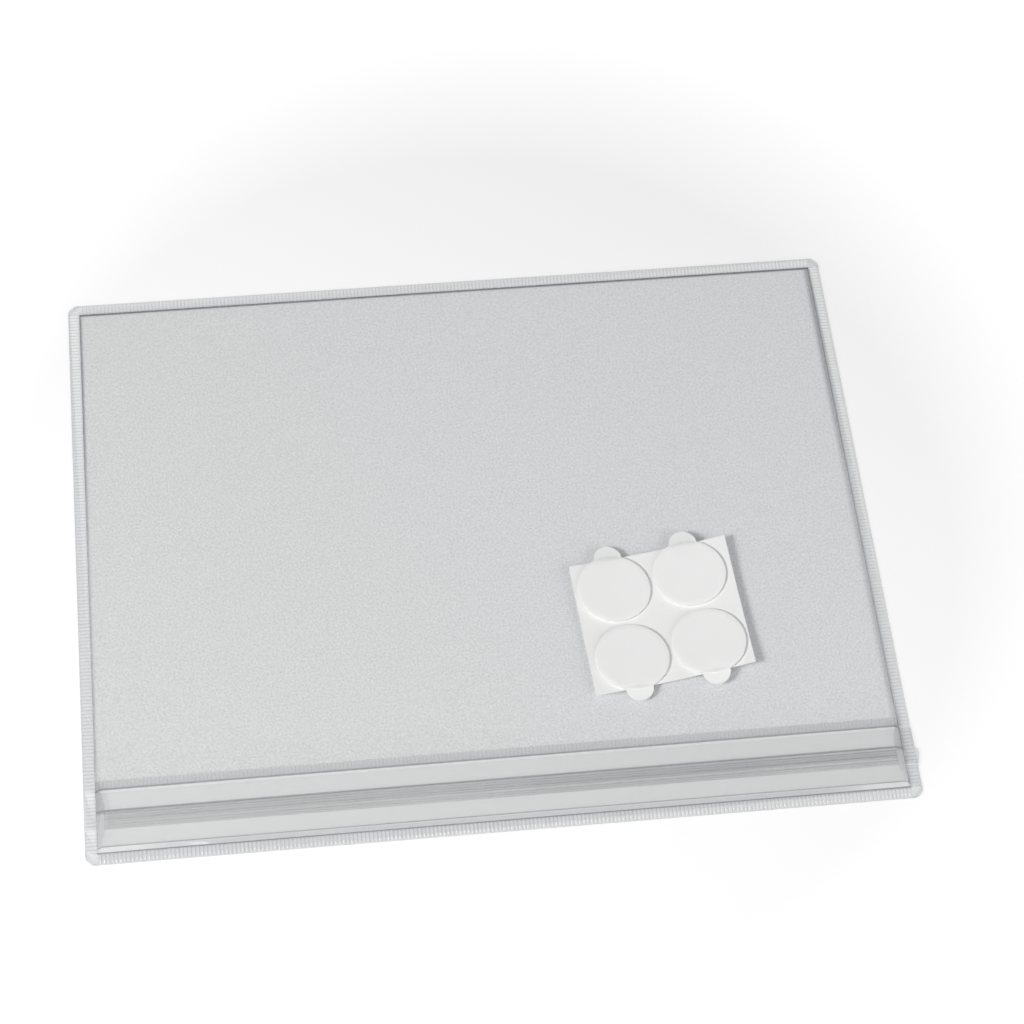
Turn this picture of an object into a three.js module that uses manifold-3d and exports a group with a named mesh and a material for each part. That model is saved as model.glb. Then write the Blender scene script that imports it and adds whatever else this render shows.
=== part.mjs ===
import * as THREE from 'three';
import { mergeVertices } from 'three/addons/utils/BufferGeometryUtils.js';
import Module from 'manifold-3d';

// A clear document pocket that lies on its back film, with its sheet of self-adhesive pads on top.
// Millimetres, +X along the width, +Y away from the closure, +Z up from the surface it lies on.

// Pocket
const pocketWidth = 332;
const pocketDepth = 265;
const cornerRadius = 4.2;
const filmThickness = 0.3;
const frontLoft = 0.5;
const bendRun = 3;

// Ribbed weld round the edge
const weldWidth = 4.8;
const weldTrim = 0.6;
const ribPitch = 1.58;
const ribHeight = 0.2;
const ribFoot = 0.04;

// Press-seal closure, from the bottom weld upwards
const lipGap = 2;
const lipWidth = 8;
const railZone = 7.4;
const upperFlange = 8.8;
const filmLap = 4.2;
const slopeRun = 12.3;
const flangeThickness = 0.4;
const railHeight = 1.1;
const railClearance = 0.15;
const stemWidth = 0.45;
const wallHeadWidth = 1.25;
const arrowHeadWidth = 1.35;
const headTipWidth = 0.5;
const headNeck = 0.15;
const wallHeadHeight = 0.5;
const arrowHeadHeight = 0.35;
const railSpacing = 2.3;
const wallCount = 4;
const endClearance = 0.3;

// Sheet of pads
const linerWidth = 67.3;
const linerHeight = 60.3;
const linerThickness = 0.15;
const linerLean = 4;
const padDiameter = 30;
const foamThickness = 1;
const coverThickness = 0.15;
const padSpacing = 32.4;
const padLean = 1.5;
const tabWidth = 11.5;
const tabReach = 20;
const tabTurn = 5.5;
const padsTurn = 7.9;
const padsFromRight = 93.6;
const padsAboveSlope = 43.1;

// Making
const curveSteps = 10;
const discSegments = 64;
const mergeDistance = 1e-4;
const cutSpare = 1;
const joinDepth = 0.15;

// Levels above the surface
const filmTop = filmThickness;
const weldTop = filmTop + filmThickness;
const panelUnderside = filmTop + frontLoft;
const panelTop = panelUnderside + filmThickness;
const flangeUnderside = weldTop + railHeight + railClearance;
const flangeTop = flangeUnderside + flangeThickness;
const crushedTop = weldTop + filmThickness;

// Lines across the width and along the depth
const halfWidth = pocketWidth / 2;
const halfDepth = pocketDepth / 2;
const weldInnerX = halfWidth - weldWidth;
const panelX = weldInnerX - bendRun;
const weldInnerTop = halfDepth - weldWidth;
const weldInnerBottom = weldWidth - halfDepth;
const lipEdge = weldInnerBottom + lipGap;
const railBottom = lipEdge + lipWidth;
const railTop = railBottom + railZone;
const filmEdge = railTop + upperFlange;
const lapTop = filmEdge + filmLap;
const slopeStart = lapTop + slopeRun;

const wasm = await Module();
wasm.setup();

function toSolid(geometry) {
  const bare = geometry.index ? geometry.toNonIndexed() : geometry.clone();
  bare.deleteAttribute('normal');
  bare.deleteAttribute('uv');
  const merged = mergeVertices(bare, mergeDistance);
  return new wasm.Manifold(new wasm.Mesh({
    numProp: 3,
    vertProperties: new Float32Array(merged.attributes.position.array),
    triVerts: new Uint32Array(merged.index.array),
  }));
}

function toGeometry(solid) {
  const mesh = solid.getMesh();
  const geometry = new THREE.BufferGeometry();
  geometry.setAttribute('position', new THREE.BufferAttribute(new Float32Array(mesh.vertProperties), 3));
  geometry.setIndex(new THREE.BufferAttribute(new Uint32Array(mesh.triVerts), 1));
  const flat = geometry.toNonIndexed();
  flat.computeVertexNormals();
  return flat;
}

function shapeFrom(points) {
  return new THREE.Shape(points.map(([a, b]) => new THREE.Vector2(a, b)));
}

// A section drawn in Y and Z, run along X
function runAlongX(points, fromX, toX) {
  const geometry = new THREE.ExtrudeGeometry(shapeFrom(points), { depth: toX - fromX, bevelEnabled: false });
  geometry.applyMatrix4(new THREE.Matrix4().set(0, 0, 1, 0, 1, 0, 0, 0, 0, 1, 0, 0, 0, 0, 0, 1));
  return geometry.translate(fromX, 0, 0);
}

// A section drawn in X and Z, run along Y
function runAlongY(points, fromY, toY) {
  const geometry = new THREE.ExtrudeGeometry(shapeFrom(points), { depth: toY - fromY, bevelEnabled: false });
  geometry.applyMatrix4(new THREE.Matrix4().set(1, 0, 0, 0, 0, 0, -1, 0, 0, 1, 0, 0, 0, 0, 0, 1));
  return geometry.translate(0, toY, 0);
}

function pocketOutline() {
  const x = halfWidth - cornerRadius;
  const y = halfDepth - cornerRadius;
  const outline = new THREE.Shape();
  outline.absarc(x, y, cornerRadius, 0, Math.PI / 2);
  outline.absarc(-x, y, cornerRadius, Math.PI / 2, Math.PI);
  outline.absarc(-x, -y, cornerRadius, Math.PI, Math.PI * 1.5);
  outline.absarc(x, -y, cornerRadius, Math.PI * 1.5, Math.PI * 2);
  return outline;
}

function outlineSlab(fromZ, toZ) {
  const options = { depth: toZ - fromZ, bevelEnabled: false, curveSegments: curveSteps };
  return new THREE.ExtrudeGeometry(pocketOutline(), options).translate(0, 0, fromZ);
}

// A row of V ribs along a line, as a section of distance and height
function ribSection(from, to, baseZ) {
  const count = Math.floor((to - from) / ribPitch);
  const start = (from + to - count * ribPitch) / 2;
  const end = start + count * ribPitch;
  const valley = baseZ + ribFoot;
  const points = [[start, baseZ - joinDepth], [end, baseZ - joinDepth], [end, valley]];
  for (let rib = count - 1; rib >= 0; rib -= 1) {
    points.push([start + (rib + 0.5) * ribPitch, valley + ribHeight]);
    points.push([start + rib * ribPitch, valley]);
  }
  return points;
}

// Ribs on the top or bottom weld, which lie across it and follow each other along X
function ribsAlongX(fromX, toX, fromY, toY, baseZ) {
  return toSolid(runAlongY(ribSection(fromX, toX, baseZ), fromY, toY));
}

// Ribs on a side weld, which follow each other along Y
function ribsAlongY(fromY, toY, side, baseZ) {
  const inner = side * weldInnerX;
  const outer = side * (halfWidth - weldTrim);
  const section = ribSection(fromY, toY, baseZ);
  return toSolid(runAlongX(section, Math.min(inner, outer), Math.max(inner, outer)));
}

// A thin sheet over a grid of lines, with its underside given at each crossing
function gridSheet(xs, ys, underside, thickness) {
  const columns = xs.length;
  const layer = columns * ys.length;
  const positions = [];
  for (const lift of [0, thickness]) {
    for (const y of ys) {
      for (const x of xs) {
        positions.push(x, y, underside(x, y) + lift);
      }
    }
  }
  const index = [];
  const quad = (a, b, c, d) => index.push(a, b, c, a, c, d);
  for (let row = 0; row < ys.length - 1; row += 1) {
    for (let column = 0; column < columns - 1; column += 1) {
      const a = row * columns + column;
      quad(a, a + columns, a + columns + 1, a + 1);
      quad(a + layer, a + 1 + layer, a + columns + 1 + layer, a + columns + layer);
    }
  }
  const lastRow = (ys.length - 1) * columns;
  for (let column = 0; column < columns - 1; column += 1) {
    quad(column, column + 1, column + 1 + layer, column + layer);
    quad(lastRow + column + 1, lastRow + column, lastRow + column + layer, lastRow + column + 1 + layer);
  }
  for (let row = 0; row < ys.length - 1; row += 1) {
    const left = row * columns;
    const right = left + columns - 1;
    quad(left + columns, left, left + layer, left + columns + layer);
    quad(right, right + columns, right + columns + layer, right + layer);
  }
  const geometry = new THREE.BufferGeometry();
  geometry.setAttribute('position', new THREE.Float32BufferAttribute(positions, 3));
  geometry.setIndex(index);
  return geometry;
}

const clearFilm = () => new THREE.MeshStandardMaterial({
  color: 0xdfe3e2, roughness: 0.3, metalness: 0, transparent: true, opacity: 0.3, side: THREE.DoubleSide,
});
const closureFilm = () => new THREE.MeshStandardMaterial({
  color: 0xc9cdd0, roughness: 0.25, metalness: 0, transparent: true, opacity: 0.45, side: THREE.DoubleSide,
});
const whitePaper = () => new THREE.MeshStandardMaterial({ color: 0xf4f4f3, roughness: 0.75, metalness: 0 });
const whiteFoam = () => new THREE.MeshStandardMaterial({ color: 0xeeeeec, roughness: 0.9, metalness: 0 });

const pocket = new THREE.Group();

function addPiece(name, geometry, material) {
  const mesh = new THREE.Mesh(geometry, material);
  mesh.name = name;
  pocket.add(mesh);
}

// Back film
addPiece('back_film', outlineSlab(0, filmTop), clearFilm());

// Front film: flat in the welds, lofted over the pocket, and raised to its lap on the closure
function frontUnderside(x, y) {
  if (Math.abs(x) >= weldInnerX || y >= weldInnerTop) {
    return filmTop;
  }
  return y > lapTop ? panelUnderside : flangeTop;
}

function frontFilm() {
  const outerX = halfWidth + bendRun;
  const xs = [-outerX, -weldInnerX, -panelX, panelX, weldInnerX, outerX];
  const ys = [filmEdge, lapTop, slopeStart, weldInnerTop - bendRun, weldInnerTop, halfDepth + bendRun];
  const outerRibs = halfDepth - weldTrim;
  return toSolid(gridSheet(xs, ys, frontUnderside, filmThickness))
    .add(ribsAlongX(-weldInnerX, weldInnerX, weldInnerTop, outerRibs, weldTop))
    .add(ribsAlongY(filmEdge, weldInnerTop, -1, weldTop))
    .add(ribsAlongY(filmEdge, weldInnerTop, 1, weldTop))
    .intersect(toSolid(outlineSlab(0, flangeTop + filmThickness + cutSpare)));
}

addPiece('front_film', toGeometry(frontFilm()), clearFilm());

// Closure, back half: a flange welded along the bottom and both sides.
// The front half's arrow rails snap in between its walls.
const railCentre = (railTop + railBottom) / 2;
const firstWall = railCentre - railSpacing * (wallCount - 1) / 2;
const wallPlaces = Array.from({ length: wallCount }, (_, i) => firstWall + i * railSpacing);
const arrowPlaces = wallPlaces.slice(1).map((place) => place - railSpacing / 2);

function backHalf() {
  const headTop = weldTop + railHeight;
  const headFoot = headTop - wallHeadHeight;
  const ribsEnd = railBottom - endClearance;
  const flangeZone = runAlongX([
    [-halfDepth - cutSpare, filmTop - cutSpare],
    [filmEdge - endClearance, filmTop - cutSpare],
    [filmEdge - endClearance, weldTop + cutSpare],
    [-halfDepth - cutSpare, weldTop + cutSpare],
  ], -halfWidth - cutSpare, halfWidth + cutSpare);
  let solid = toSolid(outlineSlab(filmTop, weldTop)).intersect(toSolid(flangeZone));
  for (const place of wallPlaces) {
    solid = solid.add(toSolid(runAlongX([
      [place - stemWidth / 2, weldTop - joinDepth],
      [place + stemWidth / 2, weldTop - joinDepth],
      [place + stemWidth / 2, headFoot],
      [place + wallHeadWidth / 2, headFoot + headNeck],
      [place + headTipWidth / 2, headTop],
      [place - headTipWidth / 2, headTop],
      [place - wallHeadWidth / 2, headFoot + headNeck],
      [place - stemWidth / 2, headFoot],
    ], -panelX, panelX)));
  }
  return solid
    .add(ribsAlongX(-weldInnerX, weldInnerX, weldTrim - halfDepth, weldInnerBottom, weldTop))
    .add(ribsAlongY(weldInnerBottom, ribsEnd, -1, weldTop))
    .add(ribsAlongY(weldInnerBottom, ribsEnd, 1, weldTop));
}

addPiece('closure_back', toGeometry(backHalf()), closureFilm());

// Closure, front half: a raised flange with arrow rails, its ends crushed flat into the side welds
function crushedEnd(side) {
  const section = [
    [panelX - cutSpare, flangeUnderside],
    [panelX, flangeUnderside],
    [weldInnerX, weldTop],
    [halfWidth, weldTop],
    [halfWidth, crushedTop],
    [weldInnerX, crushedTop],
    [panelX, flangeTop],
    [panelX - cutSpare, flangeTop],
  ].map(([x, z]) => [side * x, z]);
  return toSolid(runAlongY(section, railBottom, filmEdge - endClearance));
}

function frontHalf() {
  const tip = flangeUnderside - railHeight;
  let solid = toSolid(runAlongX([
    [lipEdge, flangeUnderside],
    [lapTop, flangeUnderside],
    [lapTop, flangeTop],
    [lipEdge, flangeTop],
  ], -panelX, panelX));
  for (const place of arrowPlaces) {
    solid = solid.add(toSolid(runAlongX([
      [place - headTipWidth / 2, tip],
      [place + headTipWidth / 2, tip],
      [place + arrowHeadWidth / 2, tip + arrowHeadHeight - headNeck],
      [place + stemWidth / 2, tip + arrowHeadHeight],
      [place + stemWidth / 2, flangeUnderside + joinDepth],
      [place - stemWidth / 2, flangeUnderside + joinDepth],
      [place - stemWidth / 2, tip + arrowHeadHeight],
      [place - arrowHeadWidth / 2, tip + arrowHeadHeight - headNeck],
    ], -panelX, panelX)));
  }
  for (const side of [-1, 1]) {
    solid = solid.add(crushedEnd(side));
    solid = solid.add(ribsAlongY(railBottom, filmEdge - endClearance, side, crushedTop));
  }
  return solid;
}

addPiece('closure_front', toGeometry(frontHalf()), closureFilm());

// Sheet of pads, turned on the front film
const padsPlace = new THREE.Vector2(halfWidth - padsFromRight, slopeStart + padsAboveSlope);
const degrees = THREE.MathUtils.degToRad;

// Each row is pushed sideways, away from its neighbour, by the lean of its column
function leaning(x, y, lean) {
  const across = x + y * Math.tan(degrees(lean));
  const turn = degrees(padsTurn);
  return new THREE.Vector2(
    padsPlace.x + across * Math.cos(turn) - y * Math.sin(turn),
    padsPlace.y + across * Math.sin(turn) + y * Math.cos(turn),
  );
}

const linerCorners = [[-1, -1], [1, -1], [1, 1], [-1, 1]]
  .map(([i, j]) => leaning(i * linerWidth / 2, j * linerHeight / 2, linerLean));
const linerTop = panelTop + linerThickness;
const foamTop = linerTop + foamThickness;
const linerGeometry = new THREE.ExtrudeGeometry(new THREE.Shape(linerCorners), {
  depth: linerThickness,
  bevelEnabled: false,
});
addPiece('release_liner', linerGeometry.translate(0, 0, panelTop), whitePaper());

// A cover is a disc with a round-ended finger tab, drawn with the tab pointing along +Y
function coverOutline() {
  const radius = padDiameter / 2;
  const tabRadius = tabWidth / 2;
  const joinAngle = Math.acos(tabRadius / radius);
  const outline = new THREE.Shape();
  outline.absarc(0, tabReach - tabRadius, tabRadius, 0, Math.PI);
  outline.absarc(0, 0, radius, Math.PI - joinAngle, Math.PI * 2 + joinAngle);
  return outline;
}

const padRows = [[-1, 1], [1, 1], [-1, -1], [1, -1]];
padRows.forEach(([column, row], i) => {
  const centre = leaning(column * padSpacing / 2, row * padSpacing / 2, padLean);
  const foam = new THREE.CylinderGeometry(padDiameter / 2, padDiameter / 2, foamThickness, discSegments);
  foam.rotateX(Math.PI / 2);
  foam.translate(centre.x, centre.y, linerTop + foamThickness / 2);
  addPiece(`foam_pad_${i + 1}`, foam, whiteFoam());
  const cover = new THREE.ExtrudeGeometry(coverOutline(), {
    depth: coverThickness,
    bevelEnabled: false,
    curveSegments: discSegments / 2,
  });
  const tabAngle = degrees(padsTurn - tabTurn) + (row > 0 ? 0 : Math.PI);
  cover.rotateZ(tabAngle);
  cover.translate(centre.x, centre.y, foamTop);
  addPiece(`pad_cover_${i + 1}`, cover, whitePaper());
});

export default pocket;
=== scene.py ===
"""A clear self-adhesive document pocket, lying flat with its sheet of foam adhesive pads on it.

Lengths are in metres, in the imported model's frame: +X along the width, +Y away from the closure, +Z up.
"""

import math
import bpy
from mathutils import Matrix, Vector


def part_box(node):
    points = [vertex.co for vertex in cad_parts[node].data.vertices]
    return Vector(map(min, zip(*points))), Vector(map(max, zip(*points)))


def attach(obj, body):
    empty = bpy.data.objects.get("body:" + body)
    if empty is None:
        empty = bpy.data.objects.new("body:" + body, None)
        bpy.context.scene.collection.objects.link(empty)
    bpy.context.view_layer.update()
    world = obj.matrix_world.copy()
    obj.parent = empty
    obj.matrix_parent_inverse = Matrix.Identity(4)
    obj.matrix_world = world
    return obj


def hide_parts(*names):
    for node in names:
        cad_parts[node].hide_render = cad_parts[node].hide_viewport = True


bl_info = {
    "name": "Self-adhesive document pocket",
    "version": (1, 0, 0),
    "blender": (4, 5, 0),
    "location": "View3D > Sidebar > Pocket",
    "description": "Builds a clear document pocket with a ribbed weld, a press-seal closure and foam pads",
    "category": "Object",
}

import bmesh
import bpy
from bpy.props import FloatProperty, FloatVectorProperty, PointerProperty
from mathutils import Matrix, Vector, noise

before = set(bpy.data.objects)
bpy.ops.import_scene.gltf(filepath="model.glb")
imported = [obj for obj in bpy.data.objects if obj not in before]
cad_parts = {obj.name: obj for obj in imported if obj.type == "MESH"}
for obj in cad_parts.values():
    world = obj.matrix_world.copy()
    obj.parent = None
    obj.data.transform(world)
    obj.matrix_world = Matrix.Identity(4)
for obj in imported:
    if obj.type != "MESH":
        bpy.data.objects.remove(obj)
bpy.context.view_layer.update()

MM = 0.001
GAP = 0.01 * MM

# Places that come from the frame
_, back_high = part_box("back_film")
film_low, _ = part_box("front_film")
flange_low, flange_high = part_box("closure_front")
_, trough_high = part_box("closure_back")
liner_low, liner_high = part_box("release_liner")
foam_boxes = [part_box(f"foam_pad_{i}") for i in range(1, 5)]
cover_boxes = [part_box(f"pad_cover_{i}") for i in range(1, 5)]

HALF_WIDTH = back_high.x
HALF_DEPTH = back_high.y
FILM_TOP = back_high.z
FILM_EDGE = film_low.y
LAP_TOP = flange_high.y
LIP_EDGE = flange_low.y
FLANGE_TOP = flange_high.z
TROUGH_EDGE = trough_high.y
PANEL_TOP = liner_low.z

# Spacing of a sheet's lines away from its bends
GRID_PITCH = 2.6 * MM

# How far a rail ends short of the welds, and how deep it sinks into the sheet it stands on
RAIL_INSET = 3 * MM
RAIL_ROOT = 0.1 * MM

# Level of a weld's end beside its first and last rib
END_LAND = 0.9

# Lengths of the film's slow waves along X and Y
WAVE_X = 0.11
WAVE_Y = 0.075

# How much more haze a fold has, and how the shine grows towards a grazing view
FOLD_HAZE = 0.04
GRAZING_POWER = 5.0
GRAZING_SHARE = 0.9

# Gap between the pocket and the floor
FLOOR_DROP = 0.02 * MM


def length(name, description, default):
    """A size that a user can set, in metres."""
    return FloatProperty(name=name, description=description, default=default, unit="LENGTH", precision=5)


def colour(name, description, default):
    """A linear colour that a user can set."""
    return FloatVectorProperty(
        name=name, description=description, default=default, subtype="COLOR", size=3, min=0, max=1
    )


def angle(name, description, degrees):
    """An angle that a user can set."""
    return FloatProperty(name=name, description=description, default=math.radians(degrees), subtype="ANGLE")


def power(name, description, watts):
    """A lamp's power that a user can set."""
    return FloatProperty(name=name, description=description, default=watts, min=0, unit="POWER")


def strength(name, description, default):
    """A strength of light or glow that a user can set."""
    return FloatProperty(name=name, description=description, default=default, min=0)


class PocketSizes(bpy.types.PropertyGroup):
    """Sizes of the pocket that the frame doesn't give."""

    weld_width: length("Weld width", "Width of the ribbed weld round the edge", 4.8 * MM)
    corner_radius: length("Corner radius", "Radius of the pocket's corners", 4.2 * MM)
    rib_pitch: length("Rib pitch", "Distance from one rib to the next", 1.58 * MM)
    rib_height: length("Rib height", "Depth of the grooves between ribs", 0.2 * MM)
    film: length("Film", "Thickness of the films", 0.3 * MM)
    bend: length("Bend", "Width of the bend inside the weld", 1.6 * MM)
    slope: length("Slope", "Run over which the film climbs to the closure", 12.3 * MM)
    wave: length("Wave", "Height of the film's slow waves", 0.18 * MM)
    rail_zone: length("Rail zone", "Width of the closure's rails", 7.4 * MM)
    rail_from_lip: length("Lip", "Width of the free lip below the rails", 8.0 * MM)
    rail_spacing: length("Rail spacing", "Distance between the walls", 2.3 * MM)
    rail_height: length("Rail height", "Height of walls and arrows", 1.1 * MM)
    rail_stem: length("Rail stem", "Thickness of a wall or arrow", 0.45 * MM)
    wall_head: length("Wall head", "Width of a wall's head", 1.25 * MM)
    arrow_head: length("Arrow head", "Width of an arrow's head", 1.35 * MM)
    head_tip: length("Head tip", "Width of the flat at a head's tip", 0.5 * MM)
    flange: length("Flange", "Thickness of the front half's flange", 0.4 * MM)
    lip_rise: length("Lip rise", "Height that the trough lifts beside the weld at its ends", 0.5 * MM)
    swell: length("Swell", "Width of the bulge in the right edge beside the rails", 1.3 * MM)


class PadSizes(bpy.types.PropertyGroup):
    """Sizes of the sheet of pads that the frame doesn't give."""

    liner_width: length("Liner width", "Long side of the release liner", 67.3 * MM)
    liner_height: length("Liner height", "Short side of the release liner", 60.3 * MM)
    liner_lean: angle("Liner lean", "Slant of the liner's short sides", 4)
    turn: angle("Turn", "Turn of the sheet on the pocket", 7.9)
    tab_turn: angle("Tab turn", "Turn of the tabs back from the sheet's", 4.0)
    tab_width: length("Tab width", "Width of a cover's finger tab", 11.5 * MM)
    tab_reach: length("Tab reach", "Distance from a pad's centre to its tab's tip", 20 * MM)
    curl: length("Curl", "Height that the liner's highest corner stands off the film", 3.0 * MM)
    tab_droop: length("Tab droop", "Height that a tab's tip hangs below its pad's cover", 1.0 * MM)
    rim_drop: length("Rim drop", "Height that a cover's rim is pressed down", 0.12 * MM)
    shift: FloatVectorProperty(
        name="Shift", description="Slip of the sheet from its place in the frame",
        default=(-0.45 * MM, -0.65 * MM), subtype="TRANSLATION", size=2,
    )


class PocketColours(bpy.types.PropertyGroup):
    """Linear colours of the pieces."""

    # The front film's own tint, with a painted shading gradient across it: darker towards the lower left,
    # lighter towards the upper right.
    film_tint_and_shade_left: colour("Film, left", "Tint of the front film at its left", (0.934, 0.940, 0.936))
    film_tint_and_shade_right: colour("Film, right", "Tint of the front film at its right", (0.960, 0.960, 0.969))
    clear: colour("Clear plastic", "Tint of the back film and the closure", (0.976, 0.977, 0.977))
    pressed: colour("Pressed plastic", "Tint of the ribbed welds at the top and sides", (0.991, 0.992, 0.992))
    # Painted shade: the fold colour darkens the plastic wherever the stored painted shade marks a fold,
    # groove, edge or rail.
    fold: colour("Fold", "Tint where the plastic is seen edge on", (0.66, 0.67, 0.69))
    haze: colour("Haze", "Colour of the plastic's fine haze", (0.80, 0.82, 0.81))
    paper: colour("Paper", "Colour of the liner and covers", (0.925, 0.925, 0.92))
    foam: colour("Foam", "Colour of the foam pads", (0.86, 0.86, 0.855))
    floor: colour("Floor", "Colour of the floor", (0.95, 0.95, 0.95))


class StudioSettings(bpy.types.PropertyGroup):
    """Camera and light."""

    azimuth: angle("Azimuth", "Turn of the view from +Y", 9.821)
    elevation: angle("Elevation", "Height of the camera over the floor, as an angle", 59.162)
    roll: angle("Roll", "Tilt of the picture", -4.297)
    distance: length("Distance", "From the camera to the point it looks at", 1.16458)
    target: FloatVectorProperty(
        name="Target", description="Point on the floor in the picture's centre",
        default=(0.01622, 0.01303, 0.0), subtype="TRANSLATION", size=3,
    )
    lens: FloatProperty(
        name="Lens", description="Focal length on a 36 mm sensor", default=97.40, unit="CAMERA"
    )
    world: strength("World", "Strength of the room's even light", 0.13)
    key: power("Key", "Power of the left light", 21.5)
    fill: power("Fill", "Power of the right light", 10.1)
    top: power("Top", "Power of the light overhead", 1.7)
    floor_glow: strength("Floor glow", "What the eye gets on top of the lit floor", 0.12)
    far_glow: strength("Far glow", "More of that glow far from the pocket", 0.4)


def sizes():
    return bpy.context.scene.pocket_sizes


def pad_sizes():
    return bpy.context.scene.pad_sizes


def colours():
    return bpy.context.scene.pocket_colours


def studio():
    return bpy.context.scene.pocket_studio


# Small helpers


def smooth(low, high, value):
    """Smooth step from 0 at low to 1 at high."""
    t = min(max((value - low) / (high - low), 0), 1)
    return t * t * (3 - 2 * t)


def mix(a, b, t):
    return a + (b - a) * t


def weld_x():
    return HALF_WIDTH - sizes().weld_width


def weld_top_y():
    return HALF_DEPTH - sizes().weld_width


def weld_bottom_y():
    return sizes().weld_width - HALF_DEPTH


def rail_bottom():
    return LIP_EDGE + sizes().rail_from_lip


def rail_top():
    return rail_bottom() + sizes().rail_zone


def select_only(piece):
    """Makes a piece the only selected and active one."""
    bpy.ops.object.select_all(action="DESELECT")
    piece.select_set(True)
    bpy.context.view_layer.objects.active = piece


def join(pieces, name):
    """Joins several pieces into one, named name."""
    bpy.ops.object.select_all(action="DESELECT")
    for piece in pieces:
        piece.select_set(True)
    bpy.context.view_layer.objects.active = pieces[0]
    bpy.ops.object.join()
    pieces[0].name = name
    pieces[0].data.name = name
    return pieces[0]


def apply_modifier(piece, kind, **values):
    """Adds a modifier with these values and applies it."""
    select_only(piece)
    modifier = piece.modifiers.new(kind.lower(), kind)
    for key, value in values.items():
        setattr(modifier, key, value)
    bpy.ops.object.modifier_apply(modifier=modifier.name)


def smooth_shading(piece, degrees=35):
    select_only(piece)
    bpy.ops.object.shade_smooth_by_angle(angle=math.radians(degrees))


def store_painted_shade(piece, values):
    """Stores painted shade at each vertex, from 0 on flat film to 1 in a fold: a darkening that stands in for
    the dark lines that light bent by clear plastic gives at folds, grooves, edges and rails.
    """
    # The attribute keeps the name depth, but what it holds is painted shade.
    attribute = piece.data.attributes.get("depth") or piece.data.attributes.new("depth", "FLOAT", "POINT")
    attribute.data.foreach_set("value", values)


def set_painted_shade(piece, painted_shade_at):
    """Stores the painted shade that the given function works out from each vertex's place."""
    store_painted_shade(piece, [painted_shade_at(v.co) for v in piece.data.vertices])


def grid_piece(name, columns, rows, place):
    """A grid primitive whose crossings are moved to place(column, row)."""
    bpy.ops.object.select_all(action="DESELECT")
    bpy.ops.mesh.primitive_grid_add(x_subdivisions=columns, y_subdivisions=rows, size=1, location=(0, 0, 0))
    piece = bpy.context.object
    piece.name = name
    for vertex in piece.data.vertices:
        column = round((vertex.co.x + 0.5) * columns)
        row = round((vertex.co.y + 0.5) * rows)
        vertex.co = place(column, row)
    piece.data.update()
    return piece


def close_below(piece, level):
    """Draws a sheet's open rim straight down to a level and closes it with one flat face."""
    select_only(piece)
    bpy.ops.object.mode_set(mode="EDIT")
    bpy.ops.mesh.select_mode(type="EDGE")
    bpy.ops.mesh.select_all(action="DESELECT")
    bpy.ops.mesh.select_non_manifold()
    bpy.ops.mesh.extrude_region_move(TRANSFORM_OT_translate={"value": (0, 0, 0)})
    mesh = bmesh.from_edit_mesh(piece.data)
    for vertex in mesh.verts:
        if vertex.select:
            vertex.co.z = level
    bmesh.update_edit_mesh(piece.data)
    bpy.ops.mesh.edge_face_add()
    bpy.ops.mesh.select_all(action="SELECT")
    bpy.ops.mesh.normals_make_consistent(inside=False)
    bpy.ops.object.mode_set(mode="OBJECT")


def run_section(name, section, from_x, to_x):
    """A closed section of (y, z) points, run along X."""
    bpy.ops.object.select_all(action="DESELECT")
    bpy.ops.mesh.primitive_circle_add(vertices=len(section), radius=1, fill_type="NGON", location=(0, 0, 0))
    piece = bpy.context.object
    piece.name = name
    for vertex, (y, z) in zip(piece.data.vertices, section):
        vertex.co = (from_x, y, z)
    bpy.ops.object.mode_set(mode="EDIT")
    bpy.ops.mesh.select_all(action="SELECT")
    bpy.ops.mesh.extrude_region_move(TRANSFORM_OT_translate={"value": (to_x - from_x, 0, 0)})
    bpy.ops.mesh.select_all(action="SELECT")
    bpy.ops.mesh.normals_make_consistent(inside=False)
    bpy.ops.object.mode_set(mode="OBJECT")
    return piece


def graded(low, high, steps, pitch):
    """Lines from low to high: steps in from each end, and about pitch apart between them."""
    start = low + steps[-1]
    end = high - steps[-1]
    count = max(1, round((end - start) / pitch))
    middle = [mix(start, end, i / count) for i in range(count + 1)]
    return [low + s for s in steps[:-1]] + middle + [high - s for s in reversed(steps[:-1])]


# Ribs of the weld

# Phase along a rib, its level there from the groove's floor to the land, and the painted shade in the groove
RIB_PROFILE = (
    (0.0, 0.0, 1.0),
    (0.11, 0.45, 0.8),
    (0.22, 0.9, 0.0),
    (0.5, 1.0, 0.0),
    (0.78, 0.9, 0.0),
    (0.89, 0.45, 0.8),
)


def rib_lines(low, high):
    """Places along a weld, with the rib's level and its painted groove shade at each: ribs follow each other
    at the pitch.
    """
    pitch = sizes().rib_pitch
    count = int((high - low) / pitch + 1e-6)
    start = (low + high - count * pitch) / 2
    lines = [(low, END_LAND, 0.0)] if start - low > GAP else []
    for rib in range(count):
        lines += [(start + (rib + phase) * pitch, level, dark) for phase, level, dark in RIB_PROFILE]
    lines.append((start + count * pitch, 0.0, 1.0))
    if high - lines[-1][0] > GAP:
        lines.append((high, END_LAND, 0.0))
    return lines


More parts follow.
